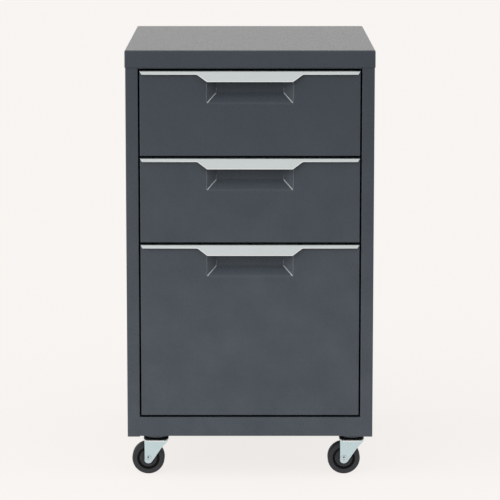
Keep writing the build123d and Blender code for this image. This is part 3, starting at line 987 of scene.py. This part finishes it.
@dataclass
class Drawer:
    """One drawer with its pull, its box and the moving members of its slides."""

    tier: Tier
    rivet: BlindRivet
    screw: PanScrew
    rim: PullHighlightRim
    rivet_shares: tuple[float, ...] = (-0.88, -0.46, 0.0, 0.46, 0.88)
    rivet_setback_mm: float = 6.0
    liner_screw_shares: tuple[float, ...] = (-0.86, -0.3, 0.3, 0.86)
    liner_screw_rise_mm: float = 28.0
    liner_screw_drop_mm: float = 14.0
    slide_screw_shares: tuple[float, ...] = (0.07, 0.46, 0.9)
    slide_sheet_mm: float = 1.2
    # Ends of each line, from the middle of the front level with the pull's top, and its radius
    highlight_beads: tuple[HighlightBead, ...] = (
        HighlightBead((68.7, 0.8, -51.2), (54.1, 15.5, -36.1), 1.0),
        HighlightBead((69.5, 0.0, -18.0), (69.5, 0.0, -50.5), 0.1),
        HighlightBead((54.0, 15.6, -28.0), (54.0, 15.6, -35.5), 0.15),
    )

    @property
    def body(self) -> str:
        """Return the body that carries the drawer."""
        return f"{self.tier.value}_drawer"

    def build(self) -> None:
        """Make the pale lines of the recess and the raised line of the pull's rim, both painted highlights, and
        the fasteners.
        """
        self.recess_highlight_lines()
        self.pull_highlight_rim()
        self.pull_rivets()
        self.liner_screws()
        for hand in Hand:
            self.slide_screws(hand)

    def recess_highlight_lines(self) -> None:
        """Make the pale lines along the pressed corners of the finger recess: painted highlights of those corners.
        """
        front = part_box(f"{self.tier.value}_drawer_front")[0].y
        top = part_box(f"{self.tier.value}_drawer_pull")[1].z
        shape = bmesh.new()
        for hand in Hand:
            for bead in self.highlight_beads:
                bead.add(shape, Vector((0.0, front, top)), hand)
        make_piece(f"{self.tier.value}_recess_lines", shape, self.body, "front_paint", HIGHLIGHT_LINE_COAT)

    def pull_highlight_rim(self) -> None:
        """Make the raised line along the pull's edge, near-white as a painted highlight."""
        shape = bmesh.new()
        self.rim.add(shape, *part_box(f"{self.tier.value}_drawer_pull"))
        make_piece(f"{self.tier.value}_pull_rim", shape, self.body, "pull_aluminium", HIGHLIGHT_RIM_METAL)

    def pull_rivets(self) -> None:
        """Make the row of rivets that hold the pull's flange down on the front."""
        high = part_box(f"{self.tier.value}_drawer_pull")[1]
        shape = bmesh.new()
        for share in self.rivet_shares:
            spot = Vector((share * high.x, high.y - self.rivet_setback_mm * MM, high.z))
            self.rivet.add(shape, Matrix.Translation(spot))
        make_piece(f"{self.tier.value}_pull_rivets", shape, self.body, "bolt_black")

    def liner_screws(self) -> None:
        """Make the screws that hold the front to the inner front, seen from inside the drawer."""
        low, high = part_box(f"{self.tier.value}_drawer_liner")
        rows = low.z + self.liner_screw_rise_mm * MM, high.z - self.liner_screw_drop_mm * MM
        turn = Matrix.Rotation(-math.pi / 2, 4, "X")
        shape = bmesh.new()
        for share in self.liner_screw_shares:
            for height in rows:
                spot = Vector((share * high.x, high.y, height))
                self.screw.add(shape, Matrix.Translation(spot) @ turn)
        make_piece(f"{self.tier.value}_front_screws", shape, self.body, "bolt_zinc")

    def slide_screws(self, hand: Hand) -> None:
        """Make the screws that hold the inner member of one slide to the side of the box.

        Args:
            hand: Side of the cabinet.
        """
        low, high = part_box(f"{self.tier.value}_{hand.word}_slide_inner")
        sheet = self.slide_sheet_mm * MM
        seat = low.x + sheet if hand is Hand.RIGHT else high.x - sheet
        turn = Matrix.Rotation(hand.value * math.pi / 2, 4, "Y")
        shape = bmesh.new()
        for share in self.slide_screw_shares:
            spot = Vector((seat, low.y + share * (high.y - low.y), (low.z + high.z) / 2))
            self.screw.add(shape, Matrix.Translation(spot) @ turn)
        make_piece(f"{self.tier.value}_{hand.word}_slide_screws", shape, self.body, "bolt_zinc")

    def dress(self) -> None:
        """Finish the solids of the drawer and of its slides' middle members."""
        dress_body(self.body)
        dress_body(f"{self.tier.value}_slide_middles")


@dataclass
class Caster:
    """One swivel caster, with a dark spot of painted shade at each end of its axle.

    The shares are those of the spot's radius and thickness.
    """

    corner: str
    spot_diameter_mm: float = 2.6
    spot_rise_mm: float = 3.0
    spot_thickness_mm: float = 0.2
    spot_shares: tuple[tuple[float, float], ...] = (
        (0.0, -1.0), (1.0, -1.0), (1.0, 0.3), (0.8, 0.8), (0.0, 1.0))
    spot_sides: int = 24

    def build(self) -> None:
        """Make the dark spot of painted shade above the dimple at both ends of the axle."""
        low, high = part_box(f"{self.corner}_caster_axle")
        centre = (low + high) / 2
        radius, thick = self.spot_diameter_mm / 2 * MM, self.spot_thickness_mm * MM
        profile = [Ring(radius * out, thick * up) for out, up in self.spot_shares]
        shape = bmesh.new()
        for end, way in ((low.y, 1), (high.y, -1)):
            place = Matrix.Translation((centre.x, end, centre.z + self.spot_rise_mm * MM))
            turned(shape, profile, place @ Matrix.Rotation(way * math.pi / 2, 4, "X"),
                   self.spot_sides)
        make_piece(f"{self.corner}_axle_shade_spot", shape, f"{self.corner}_caster", "bolt_black")

    def dress(self) -> None:
        """Finish the fork, the axle and the wheel."""
        dress_body(f"{self.corner}_caster")
        dress_body(f"{self.corner}_wheel")


@dataclass(frozen=True)
class SoftBox:
    """A square lamp behind cloth, turned to the middle of the cabinet, in watts and metres."""

    name: str
    power: float
    place: tuple[float, float, float]
    size: float = 1.4
    aim: tuple[float, float, float] = (0.0, 0.0, 0.35)

    def build(self) -> None:
        """Stand the lamp in the scene."""
        lamp = bpy.data.lights.new(self.name, "AREA")
        lamp.energy = self.power
        lamp.size = self.size
        stand = bpy.data.objects.new(self.name, lamp)
        stand.location = self.place
        stand.visible_camera = False
        stand.rotation_mode = "QUATERNION"
        away = Vector(self.place) - Vector(self.aim)
        stand.rotation_quaternion = away.to_track_quat("Z", "Y")
        bpy.context.scene.collection.objects.link(stand)


@dataclass(frozen=True)
class Window:
    """A bright part of the surround, which fades from its middle to its rim, given as cosines."""

    towards: tuple[float, float, float]
    strength: float
    rim: float = 0.45
    middle: float = 0.9

    def add(self, tree: Tree, direction: Socket, level: float | Socket) -> Socket:
        """Add the window's light to a level.

        Args:
            tree: Tree of the world.
            direction: Direction that is looked at.
            level: Strength of the light so far.

        Returns:
            The strength with the window in it.
        """
        facing = add_node(tree, "ShaderNodeVectorMath", {
            0: direction, 1: self.towards}, operation="DOT_PRODUCT")
        part = add_node(tree, "ShaderNodeMapRange", {
            "Value": facing.outputs["Value"], "From Min": self.rim, "From Max": self.middle,
            "To Max": self.strength}, interpolation_type="SMOOTHSTEP")
        total = add_node(tree, "ShaderNodeMath", {
            0: level, 1: part.outputs["Result"]}, operation="ADD")
        return total.outputs["Value"]


@dataclass
class Studio:
    """Pale paper in soft light from all round, brighter from the front on either side."""

    floor_half: float = 60.0
    backdrop: str = "#f9f5f2"
    light: str = "#ffffff"
    fill: float = 0.46
    windows: tuple[Window, ...] = (
        Window((-0.72, -0.6, 0.35), 1.1),
        Window((0.72, -0.6, 0.35), 0.7),
    )
    soft_box: SoftBox = SoftBox("left_soft_box", 4.0, (-1.1, -1.0, 0.8))

    def build(self) -> None:
        """Set up the floor, the light and the colour handling."""
        bpy.context.scene.view_settings.view_transform = "Standard"
        self.floor()
        self.surround()
        self.soft_box.build()

    def floor(self) -> None:
        """Lay the paper on the ground as one flat face."""
        half = self.floor_half
        corners = [(-half, -half, 0), (half, -half, 0), (half, half, 0), (-half, half, 0)]
        mesh = bpy.data.meshes.new("studio_floor")
        mesh.from_pydata(corners, [], [(0, 1, 2, 3)])
        mesh.materials.append(STUDIO_PAPER.material())
        floor = bpy.data.objects.new("studio_floor", mesh)
        bpy.context.scene.collection.objects.link(floor)

    def surround(self) -> None:
        """Light from all round, and show the pale backdrop itself to the eye and in reflections."""
        world = bpy.data.worlds.new("studio")
        world.use_nodes = True
        tree = world.node_tree
        tree.nodes.clear()
        direction = add_node(tree, "ShaderNodeTexCoord").outputs["Generated"]
        level: float | Socket = self.fill
        for window in self.windows:
            level = window.add(tree, direction, level)
        fill = add_node(tree, "ShaderNodeBackground", {
            "Color": linear(self.light), "Strength": level})
        pale = add_node(tree, "ShaderNodeBackground", {
            "Color": linear(self.backdrop), "Strength": 1.0})
        mixed = add_node(tree, "ShaderNodeMixShader", {
            0: shown_rays(tree), 1: fill.outputs["Background"], 2: pale.outputs["Background"]})
        add_node(tree, "ShaderNodeOutputWorld", {"Surface": mixed.outputs["Shader"]})
        bpy.context.scene.world = world


@dataclass
class ViewCamera:
    """The photograph's camera, placed from the front top edge of the cover."""

    frame_px: float = 500.0
    focal_px: float = 2721.9
    tilt_deg: float = 9.061
    distance_mm: float = 4323.4
    rise_mm: float = 368.2
    sensor_mm: float = 36.0
    reach_m: float = 200.0

    def build(self) -> None:
        """Make the camera and hand it to the scene."""
        low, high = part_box("top_cover")
        data = bpy.data.cameras.new("view")
        data.sensor_width = self.sensor_mm
        data.lens = self.focal_px / self.frame_px * self.sensor_mm
        data.clip_end = self.reach_m
        camera = bpy.data.objects.new("view", data)
        camera.location = ((low.x + high.x) / 2, low.y - self.distance_mm * MM,
                           high.z + self.rise_mm * MM)
        camera.rotation_euler = (math.pi / 2 - math.radians(self.tilt_deg), 0.0, 0.0)
        bpy.context.scene.collection.objects.link(camera)
        bpy.context.scene.camera = camera


def main() -> None:
    """Build and dress the cabinet, then set up the studio and the camera."""
    logging.basicConfig(level=logging.INFO, format="%(message)s")
    rivet, screw, rim = BlindRivet(), PanScrew(), PullHighlightRim()
    case = Case(rivet)
    case.build()
    case.dress()
    for tier in Tier:
        drawer = Drawer(tier, rivet, screw, rim)
        drawer.build()
        drawer.dress()
    for corner in swivels():
        caster = Caster(corner)
        caster.build()
        caster.dress()
    Studio().build()
    ViewCamera().build()


if __name__ == "__main__":
    main()
